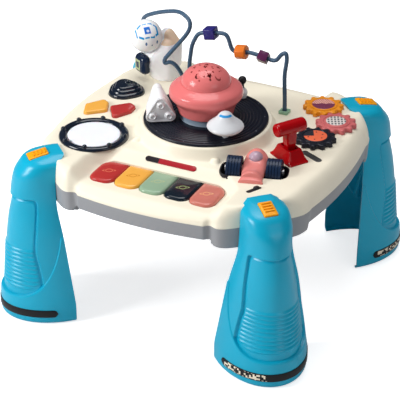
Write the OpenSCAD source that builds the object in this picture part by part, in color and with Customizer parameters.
// Musical activity table for babies: a square play deck on four clip-on hollow legs.
// Millimetres. +X right along the keyboard side, +Y to the back, +Z up, floor at z = 0.

/* [Table] */
// Half width of the table from its axis to the middle of a side
side_half = 208; // [204:1:214]
// Radius of the outward bow of each side, seen from above
side_radius = 547; // [450:1:700]
// Height of the flat play deck above the floor
deck_z = 238; // [236:0.5:240]
// Height of the seam between the top and the bottom cover
seam_z = 210; // [206:0.5:212]
// Height of the underside of the bottom cover
base_z = 188; // [186:0.5:190]
// How far the four corner lobes hang below the bottom cover
lobe_drop = 8; // [4:0.5:9]
// Wall thickness of the two covers
wall = 2.6; // [2:0.1:3]
// Height of the lowered shelf that carries the keyboard
shelf_z = 222; // [221:0.5:223]
// Half width of the lowered shelf
shelf_half = 97; // [95:0.5:100]
// Distance of the slope above the keyboard from the table axis
shelf_slope_y = 103; // [102:0.5:104]
// Running clearance between pieces that move past each other
gap = 0.4; // [0.3:0.05:0.5]
// Clearance of a shaft in its bore
bore_fit = 0.06; // [0.03:0.01:0.1]

/* [Legs] */
// How far the corner of the table and the legs' mouths stand beyond the middle of a side
leg_set = 18; // [16:0.5:20]
// How far the leg panel reaches beyond the leg's mouth at the floor
foot_out = 71; // [64:1:78]
// How far the leg panel reaches beyond the leg's mouth under the cap
cap_out = 51.5; // [50:0.5:53]
// Half width of the leg panel at the floor
foot_half = 57; // [52:0.5:60]
// How far the open mouth of a leg slopes in from the cap to the floor
mouth_in = 15; // [10:1:20]
// Half width of the leg panel under the cap
neck_half = 31; // [30:0.5:34]
// Height of the step under the leg cap
step_z = 186; // [182:1:188]
// Height of the leg cap's top face
cap_z = 241.5; // [241:0.1:242.5]
// How far cap and side flanks stand proud of the leg panel
cap_proud = 3.2; // [2:0.1:4]
// How far the foot collar stands proud of the leg panel
collar_proud = 5; // [4:0.1:6]
// Height of the collar's edge at the front of the leg
collar_z = 41; // [38:1:48]
// Height of the collar's edge at the mouth
collar_side_z = 131; // [115:1:140]
// Half angle that the ribbed front panel spans
panel_angle = 60; // [54:1:63]
// Wall thickness of the legs behind the panel
leg_wall = 2.6; // [2:0.1:3.2]
// Height of the web that the table rests on inside each leg
web_z = 194; // [192.5:0.5:195]
// Depth of the grip ribs on the leg panel
rib_depth = 1.4; // [0.8:0.1:2]
// Height of the top of the grip ribs
rib_top = 113; // [105:1:120]
// Number of grip ribs on a leg
rib_count = 10; // [6:1:11]
// Height of the dark band around the foot
band_h = 9; // [6:0.5:11]

/* [Leg buttons] */
// Distance of a leg button's middle from the leg's mouth
latch_in = 14.4; // [13.6:0.1:15]
// Length of a leg button along the diagonal
latch_l = 26.7; // [24:0.1:27.5]
// Width of a leg button
latch_w = 18.4; // [16:0.1:20]
// Slope of the leg button and of the cap around it, in degrees
latch_tilt = 13.5; // [12:0.5:14]

/* [Turntable] */
// Radius of the turntable disc
disc_r = 86.5; // [84:0.5:87.5]
// Height of the turntable disc's top face
disc_z = 257; // [256:0.5:258]
// Thickness of the turntable disc
disc_h = 5.7; // [4.5:0.1:6.2]
// Radius of the grey-blue collar under the planet lamp
collar_r = 36; // [34:0.5:36.5]
// Radius of the collar's shank through the disc and the deck
shank_r = 14; // [12:0.5:16]
// Radius of the planet lamp's brim
brim_r = 51; // [49:0.5:52.5]
// Height of the lamp dome above its seam
dome_h = 25; // [20:0.5:28]
// Press travel of the planet lamp
lamp_travel = 2.5; // [1.5:0.1:2.6]
// Distance of the saucer from the turntable axis along X
saucer_x = 51; // [49:0.5:53]
// Distance of the saucer from the turntable axis along Y
saucer_y = -46; // [-48:0.5:-45]
// Radius of the saucer
saucer_r = 25.3; // [22:0.1:26]

/* [Keyboard] */
// Pitch of the five keys
key_pitch = 37; // [36.4:0.1:37.2]
// Length of a key
key_l = 54.5; // [50:0.5:56]
// Height of the key tops
key_z = 225.5; // [225:0.5:227]
// Press travel of a key
key_travel = 3; // [2:0.1:3.4]
// Thickness of the plain name strip
strip_t = 1.2; // [0.8:0.1:1.6]
// Length of the plain name strip
strip_l = 76; // [60:1:80]

/* [Left side] */
// Drum centre along X
drum_x = -128.5; // [-130:0.5:-127]
// Drum centre along Y
drum_y = -88.5; // [-90:0.5:-86]
// Outer radius of the drum ring
drum_r = 48.5; // [46:0.5:49.5]
// Radius of the drum pad
pad_r = 36.6; // [34:0.1:37]
// Press travel of the drum pad and the side buttons
button_travel = 2; // [1:0.1:2.4]
// Height of the button tops above the deck
button_h = 5; // [4:0.1:6]
// Crater button centre along X
crater_x = -153; // [-155:0.5:-152]
// Crater button centre along Y
crater_y = 51; // [50:0.5:53]
// Radius of the crater button at the deck
crater_r = 25; // [22:0.5:26]

/* [Right side] */
// Centre distance of two meshing gears
gear_pitch = 54; // [53.6:0.1:54.6]
// Tip radius of a gear
gear_r = 29.6; // [28.5:0.1:29.8]
// Thickness of a gear
gear_h = 5; // [4:0.1:7]
// Radius of a gear post
gear_post_r = 3.5; // [3:0.1:4.5]
// Radius of a roller
roller_r = 18; // [16.5:0.1:18.4]
// Length of a roller
roller_l = 20; // [17:0.5:21]
// Half width of the space ship at the rollers
ship_half = 16.5; // [15:0.1:17]
// Radius of the roller axle
axle_r = 2.5; // [2:0.1:3]
// Lever tilt to either side of upright, in degrees
lever_tilt = 18; // [10:1:18]
// Height of the lever grip's axis above the deck
grip_up = 46; // [43:0.5:50]
// Radius of the lever grip
grip_r = 9.5; // [8.5:0.1:10]
// Length of the lever grip
grip_l = 46; // [42:0.5:50]
// Slide travel of the power switch
switch_travel = 8; // [5:0.5:9]

/* [Bead rails] */
// Radius of the bent rails
rail_r = 3; // [2.5:0.1:3.3]
// Size of a bead
bead_size = 16; // [14:0.5:17.5]

/* [Astronaut] */
// Astronaut centre along X
astro_x = -125; // [-126:0.5:-123]
// Astronaut centre along Y
astro_y = 124; // [122:0.5:125]
// Radius of the astronaut's helmet
helmet_r = 22.4; // [21:0.1:23.4]

/* [Hidden] */

SEAT = 0.3;               // clearance of a piece that rests on another
HULL_FN = 32;
ROUND_FN = 64;
SIDE_STEPS = 4;           // outline steps on half a side
notch_r = 7;              // upright grooves beside each lobe
lobe_out = 2;             // how far the lobes bulge past the sides
mouth_top = side_half + leg_set;
mouth_foot = mouth_top - mouth_in;
foot_reach = mouth_top + foot_out;
cap_reach = mouth_top + cap_out;
latch_reach = mouth_top + latch_in;
corner_reach = mouth_top - SEAT;
under_deck = deck_z - wall;
floor_z = base_z + wall;

// ---------------------------------------------------------------- outline of the table
// Height and inward set of each level of the rounded cover edge.
edge_levels = [[seam_z, 0], [deck_z - 17, 1.5], [deck_z - 9, 5], [deck_z - 4, 10], [deck_z, 20]];

function side_y(x, reach) = -(reach - side_radius + sqrt(side_radius * side_radius - x * x));
function side_end(reach, corner) =
    let (d = corner * sqrt(2), h = reach - side_radius,
         b = d - h)
    (b - sqrt(2 * side_radius * side_radius - b * b)) / 2;
function side_points(reach, corner) =
    let (e = side_end(reach + lobe_out, corner), a = shelf_half + notch_r / 2)
    concat([[-e, side_y(e, reach + lobe_out)], [-(a + e) / 2, side_y((a + e) / 2, reach + lobe_out)],
            [-a - 4, side_y(a + 4, reach + lobe_out)]],
           [for (i = [-SIDE_STEPS : SIDE_STEPS])
               [(a - 4) * i / SIDE_STEPS, side_y((a - 4) * i / SIDE_STEPS, reach)]],
           [[a + 4, side_y(a + 4, reach + lobe_out)], [(a + e) / 2, side_y((a + e) / 2, reach + lobe_out)],
            [e, side_y(e, reach + lobe_out)]]);
function turned(points, a) =
    [for (p = points) [p[0] * cos(a) - p[1] * sin(a), p[0] * sin(a) + p[1] * cos(a)]];
function table_outline(inset) =
    let (side = side_points(side_half - inset, corner_reach - inset / 4))
    [for (k = [0 : 3]) each turned(side, 90 * k)];

module table_layer(z, inset, t = 0.01) {
    translate([0, 0, z]) linear_extrude(t) polygon(table_outline(inset));
}

module deck_solid(inset) {
    hull() {
        table_layer(seam_z - (inset > 0 ? 1 : 0), edge_levels[0][1] + inset);
        for (level = [1 : 4])
            table_layer(edge_levels[level][0] - inset - 0.01, edge_levels[level][1] + inset);
    }
}

// Keyboard shelf: the space taken out of the deck, grown by a wall for the inner side.
shelf_back_y = shelf_slope_y + 18;
shelf_rise = 12;
shelf_corner = 22;
slope_angle = atan(shelf_rise / (shelf_back_y - shelf_slope_y));
shelf_end_rise = 16;

// Steep wall across each inner corner of the keyboard shelf.
module shelf_corner_space(a, grow) {
    rotate([90, 0, a]) translate([0, 0, -side_half]) linear_extrude(2 * side_half)
        polygon([[-side_half, seam_z - 5], [grow - shelf_corner - 5, seam_z - 5],
                 [grow - shelf_corner - 5, shelf_z - grow], [grow - shelf_corner, deck_z],
                 [grow - shelf_corner, deck_z + 10], [-side_half, deck_z + 10]]);
}

module shelf_space(grow) {
    intersection() {
        shelf_corner_space(45, grow);
        shelf_corner_space(135, grow);
        rotate([90, 0, -90]) translate([0, 0, -side_half])
            linear_extrude(2 * side_half)
                polygon([[shelf_slope_y - grow, deck_z], [shelf_back_y - grow, deck_z - shelf_rise - grow],
                         [shelf_back_y - grow, shelf_z - grow], [side_half - 20, shelf_z - grow],
                         [side_half + 4, shelf_z - 8.5 - grow], [side_half + 20, shelf_z - 8.5 - grow],
                         [side_half + 20, deck_z + 10], [shelf_slope_y - grow, deck_z + 10]]);
        rotate([90, 0, 0]) linear_extrude(side_half + 20)
            polygon([[-shelf_half - grow, seam_z], [shelf_half + grow, seam_z],
                     [shelf_half + grow, shelf_z], [shelf_half + shelf_end_rise + grow, deck_z],
                     [shelf_half + shelf_end_rise + grow, deck_z + 10],
                     [-shelf_half - shelf_end_rise - grow, deck_z + 10],
                     [-shelf_half - shelf_end_rise - grow, deck_z], [-shelf_half - grow, shelf_z]]);
    }
}

// Rear shelf, lower and bare.
rear_y = 160;

module rear_space(grow) {
    intersection() {
        rotate([90, 0, 90]) translate([0, 0, -side_half])
            linear_extrude(2 * side_half)
                polygon([[rear_y - grow, deck_z], [rear_y + 16 - grow, shelf_z + 2 - grow],
                         [side_half - 20, shelf_z - grow], [side_half + 4, shelf_z - 8.5 - grow],
                         [side_half + 20, shelf_z - 8.5 - grow], [side_half + 20, deck_z + 10],
                         [rear_y - grow, deck_z + 10]]);
        rotate([90, 0, 0]) translate([0, 0, -side_half - 20]) linear_extrude(side_half + 20)
            polygon([[-shelf_half - grow, seam_z], [shelf_half + grow, seam_z],
                     [shelf_half + grow, shelf_z], [shelf_half + shelf_end_rise + grow, deck_z],
                     [shelf_half + shelf_end_rise + grow, deck_z + 10],
                     [-shelf_half - shelf_end_rise - grow, deck_z + 10],
                     [-shelf_half - shelf_end_rise - grow, deck_z], [-shelf_half - grow, shelf_z]]);
    }
}

// Upright grooves beside each lobe, in both covers.
lobe_in = shelf_half + notch_r / 2;
module notches(z, h, r) {
    for (sx = [-1, 1], sy = [-1, 1])
        translate([sx * lobe_in, sy * (side_half - 8), z]) {
            cylinder(r = r, h = h, $fn = ROUND_FN);
            translate([-r, sy > 0 ? 0 : -20, 0]) cube([2 * r, 20, h]);
        }
}

// ---------------------------------------------------------------- places on the deck
platform_r = 91;
platform_foot_r = 100;
bump_r = 7;
platform_z = disc_z - 3.5;
recess_z = disc_z - disc_h - SEAT;
key_rear_y = -shelf_back_y;
key_colours = ["firebrick", "orange", "darkseagreen", "midnightblue", "salmon"];
flange_h = 2;
flange_reach = 2.5;
gear_pink_at = [159.5, 84];
gear_pink_turn = 12;
gear_orange_dir = 131.5;
gear_navy_dir = 261;
gear_orange_at = gear_pink_at + gear_pitch * [cos(gear_orange_dir), sin(gear_orange_dir)];
gear_navy_at = gear_pink_at + gear_pitch * [cos(gear_navy_dir), sin(gear_navy_dir)];
gear_teeth = 12;
tooth_step = 360 / gear_teeth;
ship_at = [111, -82];
ship_turn = 16;
lever_at = [138, -29];
lever_turn = -33;
switch_at = [132, -130];
switch_turn = 63;
switch_l = 24;
switch_w = 7;
knob_l = 9;
grille_at = [164, -13];
grille_turn = -27;
grille_l = 36;
grille_w = 8;
right_foot = [79, 90];
right_far_foot = [-70, 90];
left_foot = [-83, 97];
left_far_foot = [-148, 143];
screw_side = side_half - 26;
screw_places = [[-screw_side, 75], [-screw_side - 2, -48], [screw_side, 30], [screw_side, -62],
                [-80, screw_side], [80, screw_side], [-78, -screw_side - 4], [78, -screw_side - 4]];
amber_points = [[-164, 3], [-177, -16], [-170, -33], [-152, -17], [-159, 0]];
red_points = [[-142, -6], [-129, -25], [-119, -6], [-120, 7], [-126, 10]];

module at_leg(k) {
    rotate([0, 0, -45 + 90 * k]) children();
}

// Points of an arc, and of a convex outline rounded with one radius about its corner centres.
function arc(centre, r, from, span, n = 5) =
    [for (i = [0 : n]) centre + r * [cos(from + span * i / n), sin(from + span * i / n)]];
function heading(a, b) = atan2(b[1] - a[1], b[0] - a[0]);
function rounded(centres, r) =
    let (n = len(centres))
    [for (i = [0 : n - 1])
        let (before = heading(centres[(i + n - 1) % n], centres[i]),
             after = heading(centres[i], centres[(i + 1) % n]))
        each arc(centres[i], r, before - 90, (after - before + 720) % 360)];

side_round = 5;
module side_button_outline(points, grow) {
    polygon(rounded(points, side_round + grow));
}

crater_lobe = 8;
module crater_outline(grow) {
    polygon(rounded([for (a = [20 : 120 : 260])
            [crater_x + crater_lobe * cos(a), crater_y + crater_lobe * sin(a)]],
                    crater_r - crater_lobe + 2 + grow));
}

key_front_r = 13;
key_fan_r = 17;
key_rear_r = 2;
module key_outline(i, grow) {
    w = key_pitch - gap;
    rear_left = i == 0 ? key_fan_r : key_rear_r;
    rear_right = i == 4 ? key_fan_r : key_rear_r;
    translate([(i - 2) * key_pitch, key_rear_y - key_l])
        polygon(concat(
            arc([-w / 2 + key_front_r, key_front_r], key_front_r + grow, 180, 90),
            arc([w / 2 - key_front_r, key_front_r], key_front_r + grow, 270, 90),
            arc([w / 2 - rear_right, key_l - rear_right], rear_right + grow, 0, 90),
            arc([-w / 2 + rear_left, key_l - rear_left], rear_left + grow, 90, 90)));
}

module ship_place() {
    translate([ship_at[0], ship_at[1], deck_z]) rotate([0, 0, ship_turn]) children();
}

module lever_place() {
    translate([lever_at[0], lever_at[1], deck_z]) rotate([0, 0, lever_turn]) children();
}

// Tray for the rollers, a rounded box seen from above.
tray_inner = [ship_half + 2 * gap + roller_l + 7.5, roller_r + 0.7];
tray_wall = 1.6;
tray_corner = 12;
module tray_outline(grow) {
    x = tray_inner[0] - tray_corner;
    y = tray_inner[1] - tray_corner;
    polygon(rounded([[-x, -y], [x, -y], [x, y], [-x, y]], tray_corner + grow));
}

// ---------------------------------------------------------------- covers
module top_cover() {
    color("oldlace") difference() {
        union() {
            difference() {
                deck_solid(0);
                shelf_space(0);
                rear_space(0);
                notches(seam_z - 1, deck_z, notch_r);
            }
            translate([0, 0, under_deck])
                cylinder(r1 = platform_foot_r, r2 = platform_r, h = platform_z - under_deck, $fn = ROUND_FN);
            for (a = [-57, -133]) rotate([0, 0, a]) translate([platform_foot_r, 0, deck_z - 2])
                sphere(r = bump_r, $fn = HULL_FN);
        }
        difference() {
            deck_solid(wall);
            shelf_space(wall);
            rear_space(wall);
            notches(seam_z - 2, deck_z, notch_r + wall);
        }
        translate([0, 0, under_deck - 1])
            cylinder(r = platform_r - 4, h = recess_z - wall - under_deck + 1, $fn = ROUND_FN);
        translate([0, 0, recess_z]) cylinder(r = disc_r + 0.6, h = 20, $fn = ROUND_FN);
        translate([0, 0, seam_z]) cylinder(r = shank_r, h = 60, $fn = ROUND_FN);
        translate([0, 0, seam_z]) linear_extrude(15)
            for (i = [0 : 4]) key_outline(i, gap);
        translate([drum_x, drum_y, under_deck - 5]) cylinder(r = pad_r + gap, h = 20, $fn = ROUND_FN);
        translate([0, 0, under_deck - 5]) linear_extrude(20) {
            side_button_outline(amber_points, gap);
            side_button_outline(red_points, gap);
            crater_outline(gap);
        }
        ship_place() translate([0, 0, -tray_depth - 5])
            linear_extrude(tray_depth + 20) tray_outline(tray_wall);
        translate([switch_at[0], switch_at[1], under_deck - 5]) rotate([0, 0, switch_turn])
            translate([-switch_l / 2, -switch_w / 2, 0]) cube([switch_l, switch_w, 20]);
        translate([grille_at[0], grille_at[1], under_deck - 5]) rotate([0, 0, grille_turn])
            translate([-grille_l / 2, -grille_w / 2, 0]) cube([grille_l, grille_w, 20]);
        for (p = [right_foot, right_far_foot, left_foot, left_far_foot])
            translate([p[0], p[1], under_deck - 5]) cylinder(r = rail_r, h = 20, $fn = HULL_FN);
    }
    color("oldlace") gear_posts();
    color("oldlace") cover_bosses();
}

module gear_posts() {
    for (p = [gear_orange_at, gear_pink_at, gear_navy_at])
        translate([p[0], p[1], under_deck + 1])
            cylinder(r = gear_post_r, h = wall - 1 + gear_h - 1.6, $fn = ROUND_FN);
}

module cover_bosses() {
    for (p = screw_places) {
        front = abs(p[1]) > shelf_back_y;
        top = front ? shelf_z - 2 : deck_z - 1.4;
        foot = base_z + screw_sink + wall;
        translate([p[0], p[1], foot]) difference() {
            cylinder(r = 4, h = top - foot, $fn = HULL_FN);
            translate([0, 0, -1]) cylinder(r = screw_r, h = 12, $fn = HULL_FN);
        }
    }
}

// Seat of each leg: a post of the bottom cover that stands on the web inside the leg.
post_half = 20;
post_in = mouth_top - 12;
post_out = mouth_top + 24;
post_top = web_z + 24;
battery_bay = [64, 58];
battery_bay_z = 20;
skirt_draft = 2.5;

module lobe_blocks(z, h, inset) {
    for (k = [0 : 3]) rotate([0, 0, 90 * k])
        translate([lobe_in + inset, lobe_in + inset, z]) cube([side_half, side_half, h]);
}

module skirt(z, inset) {
    hull() {
        table_layer(seam_z - 0.01, inset);
        table_layer(z, inset + skirt_draft);
    }
}

module bottom_cover() {
    color("slategray") difference() {
        union() {
            skirt(base_z, 0);
            intersection() {
                skirt(base_z - lobe_drop, 0.5);
                lobe_blocks(base_z - lobe_drop, lobe_drop + 1, 0);
            }
            for (k = [0 : 3]) at_leg(k) corner_post();
            stop_posts();
        }
        notches(base_z - lobe_drop - 1, 60, notch_r);
        difference() {
            union() {
                skirt(floor_z, wall);
                intersection() {
                    skirt(floor_z - lobe_drop, wall + 0.5);
                    lobe_blocks(floor_z - lobe_drop, lobe_drop + 1, wall);
                }
            }
            notches(base_z - lobe_drop - 1, 60, notch_r + wall);
            for (k = [0 : 3]) at_leg(k)
                translate([post_in - wall, -post_half, base_z - lobe_drop]) cube([60, 2 * post_half, 60]);
            translate([-battery_bay[0] / 2 - wall, -battery_bay[1] / 2 - wall, base_z])
                cube([battery_bay[0] + 2 * wall, battery_bay[1] + 2 * wall, battery_bay_z]);
            board_posts();
            stop_posts();
            screw_seats();
        }
        translate([-battery_bay[0] / 2, -battery_bay[1] / 2, base_z - 1])
            cube([battery_bay[0], battery_bay[1], battery_bay_z - wall + 1]);
        for (p = screw_places) translate([p[0], p[1], base_z - 1]) {
            cylinder(r = screw_r + 0.2, h = 10, $fn = HULL_FN);
            cylinder(r = screw_head_r + 0.2, h = 1 + screw_sink, $fn = HULL_FN);
        }
    }
}

screw_r = 1.5;
screw_head_r = 3;
screw_sink = 3;
module screw_seats() {
    for (p = screw_places) translate([p[0], p[1], base_z])
        cylinder(r = screw_head_r + 2, h = screw_sink + wall, $fn = HULL_FN);
}

// Cross-head screws that hold the two covers together, driven from below.
module cover_screws() {
    color("silver") for (p = screw_places) translate([p[0], p[1], base_z + screw_sink - 2]) {
        difference() {
            cylinder(r = screw_head_r, h = 2, $fn = HULL_FN);
            for (a = [0, 90]) rotate([0, 0, a]) translate([-2, -0.4, -1]) cube([4, 0.8, 2]);
        }
        translate([0, 0, 2]) cylinder(r = screw_r, h = wall + 9, $fn = HULL_FN);
    }
}

module corner_post() {
    translate([post_in, -post_half, web_z]) cube([post_out - post_in, 2 * post_half, seam_z - web_z]);
    translate([mouth_top + 1, -post_half, seam_z - 0.01])
        cube([post_out - mouth_top - 1, 2 * post_half, post_top - seam_z - 2]);
}

// Posts that stop the drum pad and the buttons at the end of their travel.
stop_places = [[drum_x, drum_y], [crater_x, crater_y], [-164, -14], [-128, -6]];
module stop_posts() {
    top = under_deck - SEAT - flange_h - button_travel - SEAT;
    for (p = stop_places)
        translate([p[0], p[1], base_z]) cylinder(r = stop_r, h = top - base_z, $fn = HULL_FN);
}

stop_r = 4;
module board_posts() {
    for (sx = [-1, 1], y = [-7, 7 - key_l])
        translate([sx * (board_half - 12), key_rear_y + y, base_z])
            cylinder(r = 4, h = board_z - base_z, $fn = HULL_FN);
}

// ---------------------------------------------------------------- legs
function reach_at(z) = lookup(z, [
    [0, foot_reach], [24, foot_reach], [60, foot_reach - 3], [110, foot_reach - 7],
    [150, (foot_reach - 7 + cap_reach) / 2 + 1], [step_z - 1, cap_reach], [step_z + 15, cap_reach - 2.5],
    [cap_z - 26, cap_reach - 7.5], [cap_z - 15, cap_reach - 15.5], [cap_z - 11, cap_reach - 18.5],
    [cap_z - 8, cap_reach - 22], [cap_z - 5, cap_reach - 27.5], [cap_z - 2, cap_reach - 40],
    [cap_z, cap_reach - 52.5]]);
function half_at(z) = lookup(z, [
    [0, foot_half], [24, foot_half], [60, foot_half - 5], [130, foot_half - 14.5], [step_z, neck_half],
    [205, neck_half - 2], [cap_z - 16, neck_half - 6], [cap_z - 6, neck_half - 12], [cap_z, neck_half - 19]]);
function mouth_at(z) = lookup(z, [
    [0, mouth_foot], [24, mouth_foot], [60, mouth_foot + 4], [130, mouth_foot + 10], [180, mouth_top],
    [cap_z - 16, mouth_top], [cap_z - 5, mouth_top - 13], [cap_z, mouth_top - 13]]);
function collar_line(t) = collar_z + (collar_side_z - collar_z) * pow(abs(t) / 90, 4.4);

function leg_point(t, z, d) =
    let (m = mouth_at(z) + 4)
    [m + (reach_at(z) + d - m) * cos(t), (half_at(z) + d) * sin(t), z];
function leg_mouth_point(side, z, d) = [mouth_at(z), side * (half_at(z) + d), z];

leg_angles = [-90, -78, -66, -panel_angle - 2, -panel_angle, -36, -18, 0,
              18, 36, panel_angle, panel_angle + 2, 66, 78, 90];

rib_low = collar_z + 9;
rib_high = rib_top;
rib_step = (rib_high - rib_low) / rib_count;

// One row of the leg's skin: kind 0 is a plain height, 1 the collar's line, 2 a rib.
leg_rows = concat(
    [[0, 0, 4, 4], [0, 1.5, 5, 5], [0, 24, 5, 5], [1, -1.5, 5, 5], [1, 1.5, 0, 3]],
    [for (r = [0 : rib_count - 1], s = [0, 1])
        [2, rib_low + rib_step * (r + s / 2), s == 0 ? 0 : 1, 3]],
    [[2, rib_high + 1, 0, 3], [0, 150, 0, 3], [0, step_z - 1, 0, 3], [0, step_z + 0.5, 3, 3],
     [0, step_z + 15, 3, 3], [0, cap_z - 26, 3, 3], [0, cap_z - 15, 3, 3], [0, cap_z - 11, 3, 3],
     [0, cap_z - 8, 3, 3], [0, cap_z - 5, 3, 3], [0, cap_z - 2, 3, 3], [0, cap_z, 3, 3]]);

function proud_of(code) =
    code == 0 ? 0 : code == 1 ? rib_depth : code == 3 ? cap_proud
    : code == 4 ? collar_proud - 1 : collar_proud;
function row_z(row, t) =
    row[0] == 0 ? row[1]
    : row[0] == 1 ? collar_line(t) + row[1]
    : max(row[1], collar_line(t) + 1.5 + (row[1] - rib_low + 1) * 0.05);
function row_proud(row, t) = proud_of(abs(t) <= panel_angle ? row[2] : row[3]);
function row_ring(row) = concat(
    [leg_mouth_point(-1, row_z(row, 90), row_proud(row, 90))],
    [for (t = leg_angles) leg_point(t, row_z(row, t), row_proud(row, t))],
    [leg_mouth_point(1, row_z(row, 90), row_proud(row, 90))]);

function loft_faces(n, rows) = concat(
    [[for (i = [n - 1 : -1 : 0]) i]],
    [for (r = [0 : rows - 2], i = [0 : n - 1], s = [0, 1])
        let (a = r * n + i, b = r * n + (i + 1) % n, c = a + n, d = b + n)
        s == 0 ? [a, b, d] : [a, d, c]],
    [[for (i = [0 : n - 1]) (rows - 1) * n + i]]);

module loft(rings) {
    n = len(rings[0]);
    polyhedron(points = [for (r = rings) each r],
               faces = [for (f = loft_faces(n, len(rings))) [for (i = [len(f) - 1 : -1 : 0]) f[i]]],
               convexity = 6);
}

inner_angles = [-90, -66, -44, -22, 0, 22, 44, 66, 90];
module leg_hollow() {
    loft([for (z = [-1, 24, 60, 110, 150, web_z - 4])
        let (h = max(z, 0), d = -leg_wall)
        concat([[mouth_at(h) - 12, -half_at(h) - d, z]],
               [for (t = inner_angles) let (p = leg_point(t, h, d)) [p[0], p[1], z]],
               [[mouth_at(h) - 12, half_at(h) + d, z]])]);
}

// Upper pocket: a well around the corner post, under a roof that slopes like the cap.
roof_drop = tan(latch_tilt);
latch_z = cap_z - 2;
roof_t = 4.8;
pocket_half = post_half + SEAT;
pocket_out = latch_reach + latch_l / 2 + 2.4;
latch_half = latch_w / 2 + 2.2;
module leg_pocket() {
    roof = latch_z - roof_t;
    intersection() {
        rotate([90, 0, 0]) translate([0, 0, -pocket_half])
            linear_extrude(2 * pocket_half)
                polygon([[mouth_top - 20, web_z], [pocket_out, web_z],
                         [pocket_out, roof - roof_drop * (pocket_out - latch_reach)],
                         [mouth_top - 1, roof + roof_drop * (latch_reach - mouth_top + 1)],
                         [mouth_top - 1, deck_z], [mouth_top - 20, deck_z]]);
        rotate([90, 0, 90]) linear_extrude(foot_reach)
            polygon([[-pocket_half, web_z], [pocket_half, web_z], [pocket_half, post_top - 1],
                     [latch_half, deck_z - 8], [latch_half, deck_z], [-latch_half, deck_z],
                     [-latch_half, deck_z - 8], [-pocket_half, post_top - 1]]);
    }
}

module leg_lip_space() {
    translate([mouth_top - 40, -80, step_z - 4]) cube([40, 160, deck_z + 0.2 - step_z + 4]);
}

module latch_place() {
    translate([latch_reach, 0, latch_z]) rotate([0, latch_tilt, 0]) children();
}

module leg(k) {
    color("darkcyan") at_leg(k) difference() {
        loft([for (row = leg_rows) row_ring(row)]);
        leg_hollow();
        leg_pocket();
        leg_lip_space();
        latch_place() translate([-latch_l / 2 - gap, -latch_w / 2 - gap, -roof_t - 3])
            cube([latch_l + 2 * gap, latch_w + 2 * gap, roof_t + 14]);
    }
}

module latch(k) {
    flange = 1.6;
    under = roof_t + SEAT + flange;
    color("orange") at_leg(k) latch_place() {
        translate([-latch_l / 2, -latch_w / 2, -under]) cube([latch_l, latch_w, under]);
        translate([-latch_l / 2 - 1.3, -latch_w / 2 - 1.3, -under])
            cube([latch_l + 2.6, latch_w + 2.6, flange]);
        for (i = [-3 : 3])
            translate([i * 3.2 - 0.6, -latch_w / 2 + 2, 0]) cube([1.2, latch_w - 4, 0.5]);
    }
}

module foot_bands() {
    lo = 18 - band_h / 2;
    angles = [for (t = leg_angles) if (abs(t) <= 78) t];
    color("dimgray") for (k = [0 : 3]) at_leg(k)
        translate([0, 0, lo]) linear_extrude(band_h)
            polygon(concat(
                [for (t = angles) let (p = leg_point(t, 12, collar_proud + 0.8)) [p[0], p[1]]],
                [for (i = [len(angles) - 1 : -1 : 0])
                    let (p = leg_point(angles[i], 12, collar_proud + 0.05)) [p[0], p[1]]]));
}

// ---------------------------------------------------------------- turntable and what rides on it
module turntable_disc() {
    color("dimgray") difference() {
        translate([0, 0, disc_z - disc_h])
            rotate_extrude($fn = 96)
                polygon([[shank_r + bore_fit, 0], [disc_r - 1, 0], [disc_r, 1], [disc_r, disc_h - 1.5],
                         [disc_r - 1.5, disc_h], [shank_r + bore_fit, disc_h]]);
        for (r = [48, 58, 68, 78])
            translate([0, 0, disc_z - 0.6]) difference() {
                cylinder(r = r + 0.6, h = 2, $fn = ROUND_FN);
                translate([0, 0, -1]) cylinder(r = r - 0.6, h = 4, $fn = ROUND_FN);
            }
        translate([saucer_x, saucer_y, 0]) cylinder(r = 2.5 + bore_fit, h = disc_z + 5, $fn = ROUND_FN);
    }
    color("dimgray") for (a = [0 : 24 : 336]) rotate([0, 0, a + 5])
        translate([disc_r - 3.2, 0, disc_z - 1]) cylinder(r1 = 1.4, r2 = 0.9, h = 1.7, $fn = 16);
}

lamp_z = disc_z + 9.5;
module turntable_collar() {
    color("slategray") difference() {
        union() {
            translate([0, 0, disc_z + SEAT])
                cylinder(r = collar_r, h = lamp_z + lamp_travel - disc_z - SEAT, $fn = ROUND_FN);
            translate([0, 0, recess_z - wall - 6])
                cylinder(r = shank_r - 0.05, h = disc_z + 1 - recess_z + wall + 6, $fn = ROUND_FN);
        }
        translate([0, 0, recess_z - 30]) cylinder(r = 8 + bore_fit, h = 80, $fn = ROUND_FN);
    }
}

bowl_r = collar_r + 0.6;
seam_lamp_z = lamp_z + 42;
stem_drop = lamp_z - disc_z - lamp_travel - 1;
module lamp_bowl() {
    out = [[bowl_r + 2.2, 0], [bowl_r + 3.6, 6], [bowl_r + 7, 15], [brim_r - 3, 20.5], [brim_r, 25],
           [brim_r, 29.5], [brim_r - 1.5, 34], [brim_r - 6, 37.5], [brim_r - 12.5, 40.5], [brim_r - 15, 42]];
    in = [[brim_r - 17.5, 42], [brim_r - 17.5, 39], [brim_r - 5, 32], [brim_r - 4, 27], [brim_r - 7, 23],
          [bowl_r + 2, 17], [bowl_r, 14]];
    color("salmon") translate([0, 0, lamp_z]) {
        rotate_extrude($fn = 96)
            polygon(concat([[bowl_r, 0]], out, in, [[8, 14], [8, 11], [bowl_r, 11]]));
        translate([0, 0, -stem_drop]) cylinder(r = 8, h = stem_drop + 12, $fn = ROUND_FN);
    }
}

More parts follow.
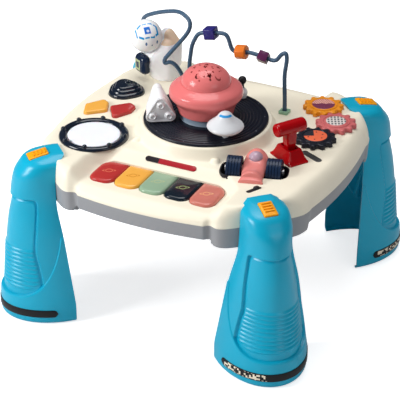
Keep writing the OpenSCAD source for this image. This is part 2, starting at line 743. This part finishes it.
dome_r = brim_r - 16.5;
function dome_arc(r, h) = [for (a = [0 : 7.5 : 90]) [r * cos(a), h * sin(a)]];
module lamp_dome() {
    color("salmon") translate([0, 0, seam_lamp_z]) difference() {
        rotate_extrude($fn = 96)
            polygon(concat(dome_arc(dome_r, dome_h), [for (a = [90 : -7.5 : 0]) [(dome_r - 2.2) * cos(a),
                                                                                  (dome_h - 2.2) * sin(a)]]));
        for (a = [0 : 60 : 300]) rotate([0, 0, a + 10])
            translate([dome_r * 0.42, 0, 0]) cylinder(r = 2.2, h = 60, $fn = HULL_FN);
        for (a = [0 : 40 : 320]) rotate([0, 0, a])
            translate([dome_r * 0.64, 0, 0]) cylinder(r = 1.4, h = 60, $fn = HULL_FN);
        cylinder(r = 2, h = 60, $fn = HULL_FN);
    }
}

module lamp_light() {
    color("white") translate([0, 0, lamp_z + 14]) {
        cylinder(r = 20, h = 1.6, $fn = ROUND_FN);
        translate([0, 0, 1.6]) cylinder(r = 5, h = 4, $fn = ROUND_FN);
        translate([0, 0, 5.6]) intersection() {
            sphere(r = 5, $fn = HULL_FN);
            translate([-6, -6, 0]) cube(12);
        }
    }
}

saucer_stem = disc_h - 2.7;
module saucer() {
    color("white") translate([saucer_x, saucer_y, disc_z + SEAT]) rotate_extrude($fn = ROUND_FN)
        polygon([[0, -saucer_stem], [2.5, -saucer_stem], [2.5, 0], [4, 0.5], [4.6, 2.5], [4, 4], [9, 6],
                 [saucer_r - 7, 10],
                 [saucer_r - 1.5, 14], [saucer_r, 16.5], [saucer_r - 1, 18.5], [saucer_r - 5, 22.5],
                 [saucer_r - 10, 27.5], [11, 31.5], [8, 33.2], [7.2, 35.6], [4.5, 37.6], [0, 38.2]]);
}

rocket_tail_at = [-46.5, -46];
rocket_turn = 32;
rocket_l = 66;
module rocket_place() {
    translate([rocket_tail_at[0], rocket_tail_at[1], disc_z]) rotate([0, 0, rocket_turn]) children();
}

module tail_outline(grow) {
    polygon(rounded([[-12.5, 8.5], [12.5, 8.5], [0, 28.5]], 8 + grow));
}

module rocket_body() {
    color("whitesmoke") rocket_place() hull() {
        translate([0, 4.2, 0.6]) rotate([90, 0, 0]) linear_extrude(1) tail_outline(-0.5);
        translate([0, 30, 0.3]) rotate([90, 0, 0]) linear_extrude(1)
            translate([0, 2]) scale(0.9) tail_outline(0);
        translate([0, rocket_l - 8, 24]) sphere(r = 7, $fn = HULL_FN);
        translate([0, rocket_l - 18, 0]) cylinder(r = 6, h = 2, $fn = HULL_FN);
    }
}

module rocket_tail() {
    color("silver") rocket_place() {
        translate([0, 3.1, 0.2]) rotate([90, 0, 0]) linear_extrude(3.5) tail_outline(0);
        for (p = [[-11.5, 9.5], [11.5, 9.5], [0, 26]])
            translate([p[0], -0.3, p[1]]) rotate([90, 0, 0]) difference() {
                cylinder(r1 = 6, r2 = 4.2, h = 4, $fn = HULL_FN);
                translate([0, 0, 1]) cylinder(r = 2.7, h = 5, $fn = HULL_FN);
            }
    }
}

shuttle_at = [7, 73];
module shuttle() {
    color("white") translate([shuttle_at[0], shuttle_at[1], disc_z + 0.1]) {
        hull() {
            translate([-16, 0, 10]) sphere(r = 9.5, $fn = 24);
            translate([14, 0, 8]) sphere(r = 7.5, $fn = 24);
            translate([-16, 0, 0]) cylinder(r = 8, h = 1, $fn = HULL_FN);
            translate([14, 0, 0]) cylinder(r = 6, h = 1, $fn = HULL_FN);
            translate([-6, 0, 23]) sphere(r = 6, $fn = 24);
        }
        translate([14, 0, 12]) cylinder(r = 2.4, h = 12, $fn = HULL_FN);
        translate([14, 0, 26.5]) sphere(r = 5.5, $fn = HULL_FN);
    }
}

// ---------------------------------------------------------------- astronaut
helmet_z = deck_z + 63;
helmet_at = [astro_x - 24.7, astro_y - 14];
module astronaut_torso() {
    hull() {
        translate([astro_x, astro_y, deck_z]) cylinder(r = 21, h = 3, $fn = HULL_FN);
        translate([astro_x - 19, astro_y - 13, deck_z + 24]) sphere(r = 16, $fn = HULL_FN);
        translate([astro_x + 3, astro_y - 3, deck_z + 47]) sphere(r = 15, $fn = HULL_FN);
    }
}

module helmet_space() {
    translate([helmet_at[0], helmet_at[1], helmet_z]) sphere(r = helmet_r + SEAT, $fn = ROUND_FN);
    translate([helmet_at[0], helmet_at[1], helmet_z - helmet_r - 16])
        cylinder(r = 4 + bore_fit, h = 30, $fn = ROUND_FN);
}

module astronaut_body() {
    color("white") difference() {
        union() {
            astronaut_torso();
            hull() {
                translate([astro_x + 12, astro_y + 7, deck_z + 22]) sphere(r = 9, $fn = 24);
                translate([astro_x + 14, astro_y + 5, deck_z + 50]) sphere(r = 9, $fn = 24);
                translate([astro_x + 1, astro_y + 9, deck_z + 24]) sphere(r = 9, $fn = 24);
                translate([astro_x, astro_y + 5, deck_z + 62]) sphere(r = 11.5, $fn = 24);
            }
        }
        helmet_space();
    }
}

module astronaut_head() {
    color("white") translate([helmet_at[0], helmet_at[1], helmet_z]) {
        sphere(r = helmet_r, $fn = ROUND_FN);
        translate([0, 0, -helmet_r - 15]) cylinder(r = 4, h = 20, $fn = ROUND_FN);
    }
}

badge_at = [astro_x - 27, astro_y - 22, deck_z + 25];
module astronaut_badge() {
    color("midnightblue") difference() {
        hull() {
            for (dx = [-4, 7], dz = [-7, 5])
                translate(badge_at + [dx * 0.85, -dx * 0.5, dz]) sphere(r = 9, $fn = 24);
        }
        astronaut_torso();
        helmet_space();
    }
}

// ---------------------------------------------------------------- bead rails
// Corner points of the rails, chosen by hand. The right rail is in the plane y = right_foot[1].
rail_foot_z = deck_z - 6;
plum_run = [[64, 314], [26, 320.3]];
orange_run = [[26, 320.3], [-3, 316]];
violet_run = [[-17, 341.5], [-56, 334]];
right_points = [for (p = [[79, rail_foot_z], [79, 256], [77.5, 296], [81, 322], [79, 331], [72, 327],
                          plum_run[0],
                          orange_run[0], orange_run[1], [-10, 338], violet_run[0], violet_run[1],
                          [-66, 314], [-70, 285], [-70, rail_foot_z]])
                    [p[0], right_foot[1], p[1]]];
left_points = [[-83, 97, rail_foot_z], [-83, 97, 256], [-91, 89, 277], [-99, 86, 282], [-107, 84, 278],
               [-107, 84, 285], [-101, 84, 293], [-72, 88, 330], [-68, 90, 343], [-73, 94, 351],
               [-93, 104, 355], [-130, 121, 340], [-163, 136, 322], [-174, 144, 309], [-170, 148, 290],
               [-152, 145, 262], [-148, 143, 250], [-148, 143, rail_foot_z]];
bend_steps = 4;

function unit(v) = v / norm(v);
function bend_cut(a, b) = min(6, norm(b - a) * 0.45);
function bent(points) = concat([points[0]],
    [for (i = [1 : len(points) - 2], s = [0 : bend_steps])
        let (a = points[i] + unit(points[i - 1] - points[i]) * bend_cut(points[i - 1], points[i]),
             b = points[i] + unit(points[i + 1] - points[i]) * bend_cut(points[i + 1], points[i]),
             t = s / bend_steps)
        (1 - t) * (1 - t) * a + 2 * t * (1 - t) * points[i] + t * t * b],
    [points[len(points) - 1]]);

function tangent(path, i) =
    i == 0 ? unit(path[1] - path[0])
    : i == len(path) - 1 ? unit(path[i] - path[i - 1])
    : unit(unit(path[i + 1] - path[i]) + unit(path[i] - path[i - 1]));
function carried(v, t) = unit(v - (v * t) * t);
function frames(path, i, v) = i == len(path) ? []
    : let (n = carried(v, tangent(path, i))) concat([n], frames(path, i + 1, n));

module tube(path, r, sides) {
    normals = frames(path, 0, [0.3, 1, 0.1]);
    rings = [for (i = [0 : len(path) - 1])
        let (n = normals[i], b = cross(tangent(path, i), n))
        [for (s = [0 : sides - 1]) path[i] + r * (n * cos(360 * s / sides) + b * sin(360 * s / sides))]];
    loft(rings);
}

rail_sides = 10;
module left_rail() { color("slategray") tube(bent(left_points), rail_r, rail_sides); }
module right_rail() { color("slategray") tube(bent(right_points), rail_r, rail_sides); }

module clip(p, w) {
    translate([p[0] - w / 2, p[1] - w / 2, deck_z]) cube([w, w, clip_h]);
}

clip_h = 4.5;
module rail_clips() {
    color("darkseagreen") difference() {
        union() {
            clip(right_foot, 14);
            hull() {
                clip(right_far_foot, 10);
                clip(left_foot, 10);
            }
            clip(left_far_foot, 9);
        }
        for (p = [right_foot, right_far_foot, left_foot, left_far_foot])
            translate([p[0], p[1], deck_z - 1]) cylinder(r = rail_r, h = 20, $fn = HULL_FN);
    }
}

module on_run(run) {
    mid = (run[0] + run[1]) / 2;
    translate([mid[0], right_foot[1], mid[1]])
        rotate([0, atan2(run[1][1] - run[0][1], run[0][0] - run[1][0]), 0]) children();
}

bead_bore_r = rail_r + 0.5;
module bead_violet() {
    color("darkslateblue") on_run(violet_run) difference() {
        intersection() {
            cube(bead_size, center = true);
            rotate([0, 90, 0])
                cylinder(r = bead_size * 0.66, h = bead_size + 2, center = true, $fn = ROUND_FN);
        }
        rotate([0, 90, 0]) cylinder(r = bead_bore_r, h = bead_size + 2, center = true, $fn = ROUND_FN);
    }
}

module bead_orange() {
    color("peru") on_run(orange_run) difference() {
        rotate([0, 90, 0]) rotate([0, 0, 22.5])
            cylinder(r = bead_size * 0.64, h = bead_size - 1, center = true, $fn = 8);
        rotate([0, 90, 0]) cylinder(r = bead_bore_r, h = bead_size + 2, center = true, $fn = ROUND_FN);
    }
}

module bead_plum() {
    color("indigo") on_run(plum_run) difference() {
        rotate([45, 0, 0]) cube([bead_size - 2, bead_size - 2, bead_size - 2], center = true);
        rotate([0, 90, 0]) cylinder(r = bead_bore_r, h = bead_size + 2, center = true, $fn = ROUND_FN);
    }
}

// ---------------------------------------------------------------- keyboard
key_foot_z = shelf_z - wall - 4.4;
board_z = key_foot_z - key_travel - 3.5;
module key(i) {
    color(key_colours[i]) {
        translate([0, 0, key_foot_z]) linear_extrude(key_z - 1.2 - key_foot_z) key_outline(i, 0);
        translate([0, 0, key_z - 1.2]) linear_extrude(1.2) key_outline(i, -1.2);
        translate([(i - 2) * key_pitch - 8, key_rear_y - key_l - flange_reach, key_foot_z + 0.3])
            cube([16, key_l + 2 * flange_reach, 4.4 - 0.3 - SEAT]);
    }
}

module key_membrane() {
    color("gray") {
        translate([-key_pitch * 2.5, key_rear_y - key_l + 3, board_z + 1.6])
            cube([key_pitch * 5, key_l - 6, 1.2]);
        for (i = [-2 : 2]) translate([i * key_pitch, key_rear_y - key_l / 2, board_z + 2.8])
            cylinder(r1 = 6, r2 = 4, h = 0.4, $fn = HULL_FN);
    }
}

board_half = key_pitch * 2.5 - 2.5;
module circuit_board() {
    color("darkgreen") {
        translate([-board_half, key_rear_y - key_l, board_z]) cube([2 * board_half, key_l, 1.6]);
        for (i = [-1.5 : 1 : 1.5]) translate([i * key_pitch - 5, key_rear_y - key_l / 4, board_z - 2])
            cube([10, key_l / 7, 2]);
    }
}

// Plain strip on the slope above the keyboard.
strip_r = 4;
module name_strip() {
    color("firebrick") translate([0, -shelf_slope_y, deck_z]) rotate([slope_angle, 0, 0])
        translate([0, -6.5, 0]) linear_extrude(strip_t)
            polygon(concat(arc([strip_l / 2 - strip_r, 0], strip_r, -90, 180),
                           arc([strip_r - strip_l / 2, 0], strip_r, 90, 180)));
}

// ---------------------------------------------------------------- drum and side buttons
module drum_ring() {
    color("midnightblue") translate([drum_x, drum_y, deck_z]) {
        rotate_extrude($fn = 96)
            polygon([[pad_r + 0.8, 0], [drum_r, 0], [drum_r, 1.2], [drum_r - 1.2, 3], [drum_r - 4, 4],
                     [pad_r + 3, 4], [pad_r + 0.8, 3]]);
        for (a = [0 : 45 : 315]) rotate([0, 0, a + 12])
            translate([drum_r - 4.6, 0, 3]) cylinder(r1 = 2.8, r2 = 1.8, h = 4, $fn = HULL_FN);
    }
}

module drum_pad() {
    color("white") translate([drum_x, drum_y, under_deck - SEAT - flange_h]) {
        cylinder(r = pad_r, h = flange_h + SEAT + wall + 3, $fn = 96);
        cylinder(r = pad_r + flange_reach, h = flange_h, $fn = 96);
    }
}

module side_button(points) {
    translate([0, 0, under_deck - SEAT - flange_h]) {
        linear_extrude(flange_h + SEAT + wall + button_h - 1.2) side_button_outline(points, 0);
        linear_extrude(flange_h) side_button_outline(points, 1.6);
    }
    translate([0, 0, deck_z + button_h - 1.2]) linear_extrude(1.2) side_button_outline(points, -1.2);
}

module button_amber() { color("orange") side_button(amber_points); }
module button_red() { color("firebrick") side_button(red_points); }

module crater_button() {
    color("midnightblue") {
        translate([0, 0, under_deck - SEAT - flange_h]) {
            linear_extrude(flange_h + SEAT + wall + 4) crater_outline(0);
            linear_extrude(flange_h) crater_outline(flange_reach);
        }
        translate([0, 0, deck_z + 4]) linear_extrude(3.5) crater_outline(-4);
        translate([0, 0, deck_z + 7.5]) linear_extrude(3) crater_outline(-9);
        translate([crater_x, crater_y + 2, deck_z + 10.5]) cylinder(r1 = 7, r2 = 4, h = 3, $fn = HULL_FN);
    }
}

// ---------------------------------------------------------------- ship with rollers
tray_depth = roller_r + 1.5;
module roller_tray() {
    color("dimgray") difference() {
        union() {
            ship_place() translate([0, 0, -tray_depth - tray_wall])
                linear_extrude(tray_depth + tray_wall) tray_outline(tray_wall);
            difference() {
                ship_place() translate([0, 0, -wall - flange_h])
                    linear_extrude(flange_h) tray_outline(tray_wall + flange_reach);
                shelf_space(wall + SEAT);
            }
        }
        ship_place() translate([0, 0, -tray_depth]) linear_extrude(tray_depth + 1) tray_outline(0);
    }
}

ship_l = 74;
canopy_at = [0, ship_l / 2 - 16, 9];
canopy_r = 9;
module ship_body() {
    color("lightcoral") ship_place() difference() {
        union() {
            intersection() {
                hull() {
                    translate([0, ship_l / 2 - 15, 0]) cylinder(r = 15, h = 3, $fn = HULL_FN);
                    translate([0, ship_l / 2 - 14, 3]) sphere(r = 13, $fn = HULL_FN);
                    translate([-ship_half, -8, 0]) cube([2 * ship_half, 16, 4]);
                    translate([-ship_half + 4, -8, 4]) cube([2 * ship_half - 8, 16, 8]);
                }
                translate([-ship_l / 2, -ship_l / 2, 0]) cube([ship_l, ship_l, 30]);
            }
            hull() {
                translate([-ship_half, -8, 0]) cube([2 * ship_half, 4, 4]);
                translate([-ship_half + 4, -8, 0]) cube([2 * ship_half - 8, 4, 10]);
                translate([-15.5, -ship_l / 2, 0]) cube([31, 4, 3]);
                translate([-10, -ship_l / 2 + 2, 0]) cube([20, 4, 7]);
            }
            translate([-ship_half, -axle_r - 4, -axle_r - 4])
                cube([2 * ship_half, 2 * axle_r + 8, axle_r + 5]);
        }
        rotate([0, 90, 0]) cylinder(r = axle_r, h = 80, center = true, $fn = ROUND_FN);
        translate(canopy_at) sphere(r = canopy_r, $fn = ROUND_FN);
    }
}

module ship_canopy() {
    color("lavender") ship_place() translate(canopy_at) sphere(r = canopy_r - 0.02, $fn = ROUND_FN);
}

axle_l = 2 * (ship_half + 2 * gap + roller_l + 2);
module roller_axle() {
    color("silver") ship_place() rotate([0, 90, 0]) {
        cylinder(r = axle_r, h = axle_l, center = true, $fn = ROUND_FN);
        for (s = [-1, 1]) translate([0, 0, s * (axle_l / 2 - 0.5)])
            cylinder(r = axle_r + 2, h = 2, center = true, $fn = ROUND_FN);
    }
}

module roller(side) {
    color("midnightblue") ship_place() rotate([0, 90, 0])
        translate([0, 0, side * (ship_half + gap + roller_l / 2)]) difference() {
            union() {
                cylinder(r = roller_r - 0.8, h = roller_l, center = true, $fn = ROUND_FN);
                for (i = [-2 : 2]) translate([0, 0, i * roller_l / 5])
                    cylinder(r = roller_r, h = roller_l / 5 - 1.2, center = true, $fn = ROUND_FN);
            }
            cylinder(r = axle_r + bore_fit, h = roller_l + 2, center = true, $fn = ROUND_FN);
            translate([0, 0, side * (roller_l / 2)])
                cylinder(r = axle_r + 4, h = 3, center = true, $fn = ROUND_FN);
        }
}

// ---------------------------------------------------------------- lever
pivot_up = 8;
lever_half_t = 6;
lever_half_w = 6;
base_top = 17;
base_l = 50;
base_w = 31;
lever_slot = lever_half_t + (base_top - pivot_up + lever_half_t) * tan(lever_tilt) + 1.2;
module lever_base() {
    color("crimson") lever_place() difference() {
        hull() {
            translate([-base_l / 2, -base_w / 2, 0]) cube([base_l, base_w, 2]);
            translate([-lever_slot - 2.2, -9.5, 0]) cube([2 * lever_slot + 4.4, 19, base_top]);
        }
        translate([-lever_slot, -lever_half_w - gap, -1])
            cube([2 * lever_slot, 2 * lever_half_w + 2 * gap, base_top + 5]);
        translate([0, 0, pivot_up]) rotate([90, 0, 0])
            cylinder(r = axle_r, h = 60, center = true, $fn = ROUND_FN);
    }
}

module lever_pin() {
    color("silver") lever_place() translate([0, 0, pivot_up]) rotate([90, 0, 0])
        cylinder(r = axle_r - 0.02, h = 19, center = true, $fn = ROUND_FN);
}

module lever() {
    color("crimson") lever_place() difference() {
        union() {
            translate([0, 0, pivot_up]) rotate([90, 0, 0])
                cylinder(r = lever_half_t + 1, h = 2 * lever_half_w, center = true, $fn = ROUND_FN);
            translate([-lever_half_t, -lever_half_w, pivot_up])
                cube([2 * lever_half_t, 2 * lever_half_w, grip_up - pivot_up]);
            translate([0, 0, grip_up]) rotate([90, 0, 0])
                cylinder(r = grip_r, h = grip_l, center = true, $fn = ROUND_FN);
        }
        translate([0, 0, pivot_up]) rotate([90, 0, 0])
            cylinder(r = axle_r + bore_fit, h = 60, center = true, $fn = ROUND_FN);
    }
}

// ---------------------------------------------------------------- gears
// Turn of a gear whose mate stands in direction dir and is turned by mate_turn.
function mesh_turn(dir, mate_turn) = 2 * dir + 180 - mate_turn - tooth_step / 2;

root_r = gear_pitch - gear_r - 0.7;
function tooth_points(k) =
    [for (p = [[root_r, -8.4], [root_r, -7], [gear_r - 1, -4.6], [gear_r, -3], [gear_r, 3],
               [gear_r - 1, 4.6], [root_r, 7], [root_r, 8.4]])
        p[0] * [cos(k * tooth_step + p[1]), sin(k * tooth_step + p[1])]];

module gear(at, turn, rim, face) {
    translate([at[0], at[1], deck_z + SEAT]) rotate([0, 0, turn]) {
        color(rim) difference() {
            linear_extrude(gear_h) polygon([for (k = [0 : gear_teeth - 1]) each tooth_points(k)]);
            translate([0, 0, -1]) cylinder(r = gear_post_r + bore_fit, h = gear_h - 1 + SEAT, $fn = ROUND_FN);
        }
        color(face) translate([0, 0, gear_h]) cylinder(r1 = 17, r2 = 15.5, h = 1.5, $fn = ROUND_FN);
    }
}

module gear_orange() { gear(gear_orange_at, mesh_turn(gear_orange_dir, gear_pink_turn), "orange", "purple"); }
module gear_pink() { gear(gear_pink_at, gear_pink_turn, "indianred", "gainsboro"); }
module gear_navy() { gear(gear_navy_at, mesh_turn(gear_navy_dir, gear_pink_turn), "midnightblue", "coral"); }

// ---------------------------------------------------------------- switch and grille
module power_switch() {
    color("black") translate([switch_at[0], switch_at[1], 0]) rotate([0, 0, switch_turn])
        translate([switch_travel / 2, 0, 0]) {
            translate([-knob_l / 2, -switch_w / 2 + gap, under_deck - SEAT - 1])
                cube([knob_l, switch_w - 2 * gap, deck_z + 3.5 - under_deck + SEAT + 1]);
            translate([-switch_l / 2 - switch_travel / 2 - 1, -switch_w / 2 - 1.5, under_deck - SEAT - 2])
                cube([switch_l + switch_travel + 2, switch_w + 3, 2]);
        }
}

module speaker_grille() {
    color("dimgray") translate([grille_at[0], grille_at[1], 0]) rotate([0, 0, grille_turn]) {
        difference() {
            translate([-grille_l / 2, -grille_w / 2, deck_z - 2]) cube([grille_l, grille_w, 2.4]);
            for (i = [-4 : 4]) translate([i * 3.6 - 0.9, -grille_w / 2 + 1.2, deck_z - 3])
                cube([1.8, grille_w - 2.4, 6]);
        }
    }
}

// ---------------------------------------------------------------- inside
speaker_at = [145, 30];
module speaker() {
    color("dimgray") translate([speaker_at[0], speaker_at[1], floor_z]) {
        cylinder(r = 12, h = 6, $fn = ROUND_FN);
        translate([0, 0, 6]) cylinder(r1 = 12, r2 = 25, h = 8, $fn = ROUND_FN);
        translate([0, 0, 14]) cylinder(r = 28, h = 2, $fn = ROUND_FN);
    }
}

cell_r = 7.2;
cell_l = 50.5;
cover_t = 2.4;
module batteries() {
    color("steelblue") for (i = [-1 : 1])
        translate([-cell_l / 2, i * (2 * cell_r + 1), base_z + cover_t + SEAT + cell_r]) rotate([0, 90, 0]) {
            cylinder(r = cell_r, h = cell_l - 1.5, $fn = HULL_FN);
            translate([0, 0, cell_l - 1.5]) cylinder(r = 2.7, h = 1.5, $fn = HULL_FN);
        }
}

module battery_cover() {
    color("slategray") difference() {
        translate([-battery_bay[0] / 2 + SEAT, -battery_bay[1] / 2 + SEAT, base_z])
            cube([battery_bay[0] - 2 * SEAT, battery_bay[1] - 2 * SEAT, cover_t]);
        translate([0, battery_bay[1] / 2 - 5, base_z - 1]) cylinder(r = 1.7, h = 5, $fn = HULL_FN);
    }
}

top_cover();
bottom_cover();
leg(0);  // leg_front_right
leg(1);  // leg_back_right
leg(2);  // leg_back_left
leg(3);  // leg_front_left
foot_bands();
latch(0);  // latch_front_right
latch(1);  // latch_back_right
latch(2);  // latch_back_left
latch(3);  // latch_front_left
turntable_disc();
turntable_collar();
lamp_bowl();
lamp_dome();
lamp_light();
saucer();
rocket_body();
rocket_tail();
shuttle();
astronaut_body();
astronaut_head();
astronaut_badge();
left_rail();
right_rail();
rail_clips();
bead_violet();
bead_orange();
bead_plum();
key(0);  // key_red
key(1);  // key_amber
key(2);  // key_green
key(3);  // key_navy
key(4);  // key_pink
key_membrane();
drum_ring();
drum_pad();
button_amber();
button_red();
crater_button();
name_strip();
roller_tray();
ship_body();
ship_canopy();
roller_axle();
roller(-1);  // roller_left
roller(1);  // roller_right
lever_base();
lever();
lever_pin();
gear_orange();
gear_pink();
gear_navy();
power_switch();
speaker_grille();
speaker();
circuit_board();
battery_cover();
batteries();
cover_screws();
